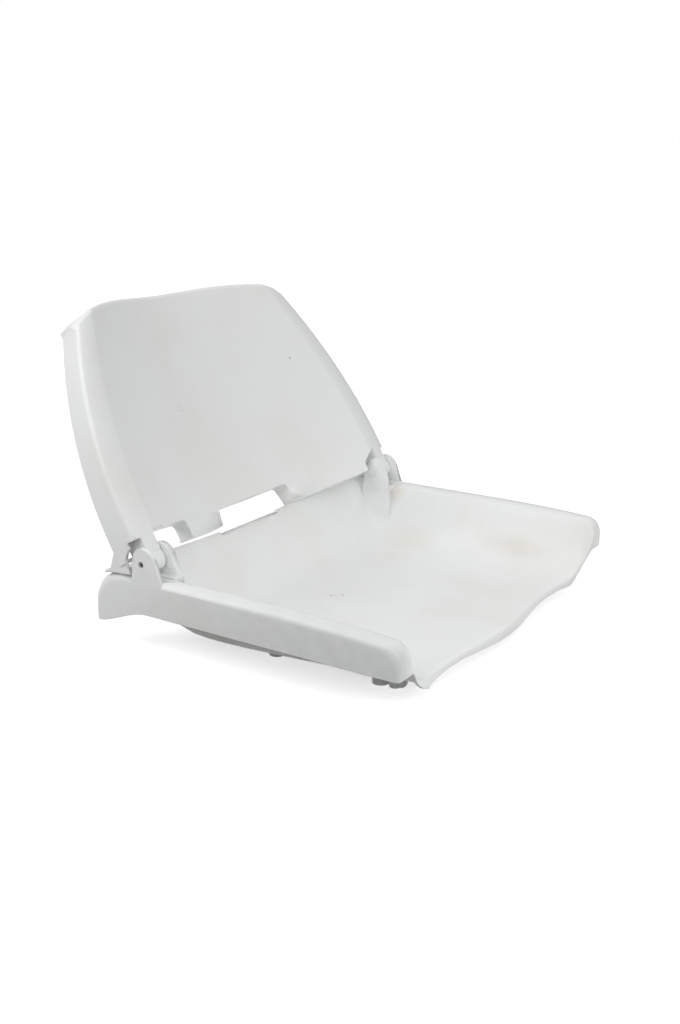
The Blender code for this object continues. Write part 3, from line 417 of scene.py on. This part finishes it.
class SEAT_OT_stage(bpy.types.Operator):
    """Build the floor, the lamps, the sky and the camera"""
    bl_idname = "boat_seat.stage"
    bl_label = "Stage"

    def execute(self, context):
        look = context.scene.seat_studio
        deselect()
        bpy.ops.mesh.primitive_plane_add(size=FLOOR_SIZE, location=(0, 0, -FLOOR_DROP))
        floor = context.object
        floor.name = "studio_floor"
        floor.data.materials.append(studio_sweep(look))
        add_sky(context, look)
        add_lamp("key_lamp", *KEY_LAMP, look.key_power)
        add_lamp("fill_lamp", *FILL_LAMP, look.fill_power)
        add_camera(context, look)
        context.scene.view_settings.view_transform = "Standard"
        return {"FINISHED"}


def add_sky(context, look):
    world = bpy.data.worlds.new("studio_sky")
    world.use_nodes = True
    tree = world.node_tree
    tree.nodes.clear()
    path = tree.nodes.new("ShaderNodeLightPath")
    seen = tree.nodes.new("ShaderNodeMath")
    seen.operation = "MAXIMUM"
    tree.links.new(path.outputs["Is Camera Ray"], seen.inputs[0])
    tree.links.new(path.outputs["Is Transmission Ray"], seen.inputs[1])
    facing = tree.nodes.new("ShaderNodeNewGeometry")
    split = tree.nodes.new("ShaderNodeSeparateXYZ")
    tree.links.new(facing.outputs["Incoming"], split.inputs[0])
    fade = tree.nodes.new("ShaderNodeMapRange")
    fade.inputs["From Min"].default_value = -1.0
    fade.inputs["From Max"].default_value = 0.0
    fade.inputs["To Min"].default_value = look.sky
    fade.inputs["To Max"].default_value = look.horizon
    tree.links.new(split.outputs["Z"], fade.inputs["Value"])
    level = tree.nodes.new("ShaderNodeMapRange")
    tree.links.new(fade.outputs[0], level.inputs["To Min"])
    level.inputs["To Max"].default_value = 1.0
    tree.links.new(seen.outputs[0], level.inputs["Value"])
    background = tree.nodes.new("ShaderNodeBackground")
    background.inputs["Color"].default_value = (1, 1, 1, 1)
    tree.links.new(level.outputs[0], background.inputs["Strength"])
    output = tree.nodes.new("ShaderNodeOutputWorld")
    tree.links.new(background.outputs[0], output.inputs["Surface"])
    context.scene.world = world


def add_lamp(name, place, size, power):
    deselect()
    bpy.ops.object.light_add(type="AREA", location=place)
    lamp = bpy.context.object
    lamp.name = name
    lamp.data.size = size
    lamp.data.energy = power
    aim = Vector(LAMP_TARGET) - Vector(place)
    lamp.rotation_euler = aim.to_track_quat("-Z", "Y").to_euler()


def add_camera(context, look):
    turn, height = look.camera_turn, look.camera_height
    forward = Vector((-math.sin(turn) * math.cos(height), math.cos(turn) * math.cos(height),
                      -math.sin(height)))
    deselect()
    bpy.ops.object.camera_add(location=look.camera_place)
    camera = context.object
    camera.name = "studio_camera"
    camera.rotation_euler = forward.to_track_quat("-Z", "Y").to_euler()
    camera.data.lens = look.lens
    camera.data.sensor_fit = "AUTO"
    camera.data.clip_start = 0.01
    context.scene.camera = camera


class SEAT_PT_panel(bpy.types.Panel):
    """Lists the seat's operators"""
    bl_idname = "SEAT_PT_panel"
    bl_label = "Boat Seat"
    bl_space_type = "VIEW_3D"
    bl_region_type = "UI"
    bl_category = "Boat Seat"

    def draw(self, context):
        for operator in STEPS:
            self.layout.operator(operator.bl_idname)
        for group in (context.scene.seat_plastic, context.scene.seat_studio):
            for name in group.__annotations__:
                self.layout.prop(group, name)


# Stains and painted shade as centre, radii, strength and colour, and gate marks as centre and
# radius. The first is painted shade: a grey patch that darkens the near rail's side, most
# towards its front. The first is a grey film that gives the near rail's side the photographed
# tone: whether that tone is dirt or shade can't be told from the photograph. The others are
# stains.
PAN_STAINS_AND_PAINTED_SHADE = [
    # Painted shade: grey patch that darkens the near rail's side towards its front
    ((-0.2380, -0.0900, 0.0450), (0.014, 0.260, 0.056), 0.55, "#bcc0be"),
    ((0.2000, -0.0415, 0.0397), (0.020, 0.040, 0.010), 0.22, "#b09878"),
    ((0.1945, 0.1071, 0.0264), (0.016, 0.030, 0.014), 0.20, "#d2c49c"),
    ((0.2162, 0.1436, 0.0789), (0.008, 0.012, 0.014), 0.30, "#cbb58c"),
    ((0.0049, 0.1033, 0.0063), (0.0012, 0.0012, 0.0012), 0.9, "#5e574e"),
    ((0.0131, 0.0916, 0.0067), (0.0010, 0.0010, 0.0010), 0.9, "#5e574e"),
]
BACK_STAINS = [
    ((0.1540, 0.2659, 0.2506), (0.0012, 0.0030, 0.0012), 0.8, "#8a8378"),
]
PAN_GATES = [((0.0078, 0.0940, 0.0066), 0.006)]
BACK_GATES = [((-0.0506, 0.2747, 0.2197), 0.005)]
STEPS = (SEAT_OT_pan, SEAT_OT_backrest, SEAT_OT_hinge_pins, SEAT_OT_inserts, SEAT_OT_stage)
CLASSES = (SeatPlastic, SeatStudio, *STEPS, SEAT_PT_panel)


def register():
    for item in CLASSES:
        bpy.utils.register_class(item)
    bpy.types.Scene.seat_plastic = bpy.props.PointerProperty(type=SeatPlastic)
    bpy.types.Scene.seat_studio = bpy.props.PointerProperty(type=SeatStudio)


def unregister():
    del bpy.types.Scene.seat_plastic
    del bpy.types.Scene.seat_studio
    for item in reversed(CLASSES):
        bpy.utils.unregister_class(item)


def main():
    register()
    bpy.ops.boat_seat.pan()
    bpy.ops.boat_seat.backrest()
    bpy.ops.boat_seat.hinge_pins()
    bpy.ops.boat_seat.inserts()
    bpy.ops.boat_seat.stage()


if __name__ == "__main__":
    main()
